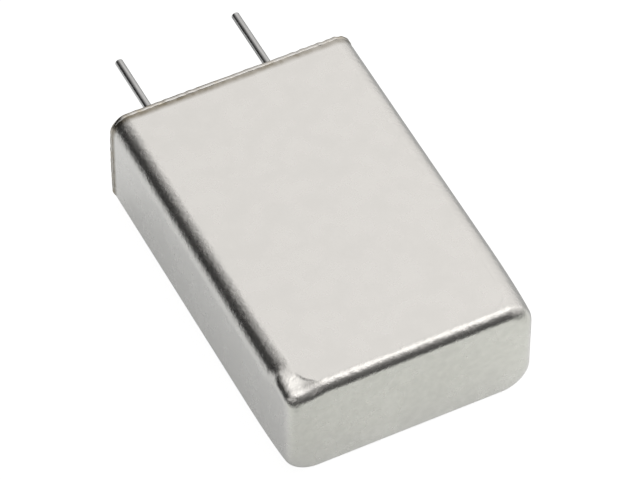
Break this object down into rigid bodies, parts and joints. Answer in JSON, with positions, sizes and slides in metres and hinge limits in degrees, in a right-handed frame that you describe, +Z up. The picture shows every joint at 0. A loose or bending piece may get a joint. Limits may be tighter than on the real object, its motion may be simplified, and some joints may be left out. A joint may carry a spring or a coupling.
{
  "type": "electrolytic capacitor",
  "caption": "Flat rectangular electrolytic capacitor in a drawn metal case, welded shut at one end, with two parallel wire leads out of that end.",
  "frame": {"origin": "centre of the large flat face that the case lies on", "axes": "+X across the width, +Y along the length towards the leads, +Z up through the thickness"},
  "size_m": [0.0256, 0.0501, 0.0119],
  "materials": {
    "case_steel": "satin drawn nickel steel",
    "cover_steel": "satin stamped nickel steel",
    "weld": "rippled weld with a straw heat tint",
    "seal_glass": "dark opaque sealing glass",
    "pin_metal": "nickel-iron sealing alloy",
    "lead_wire": "bright tinned wire"
  },
  "bodies": {
    "root": {"case": "case_steel", "end_cover": "cover_steel", "weld_seam": "weld", "glass_seal_left": "seal_glass", "glass_seal_right": "seal_glass", "feedthrough_pin_left": "pin_metal", "feedthrough_pin_right": "pin_metal", "lead_left": "lead_wire", "lead_right": "lead_wire"}
  },
  "joints": []
}
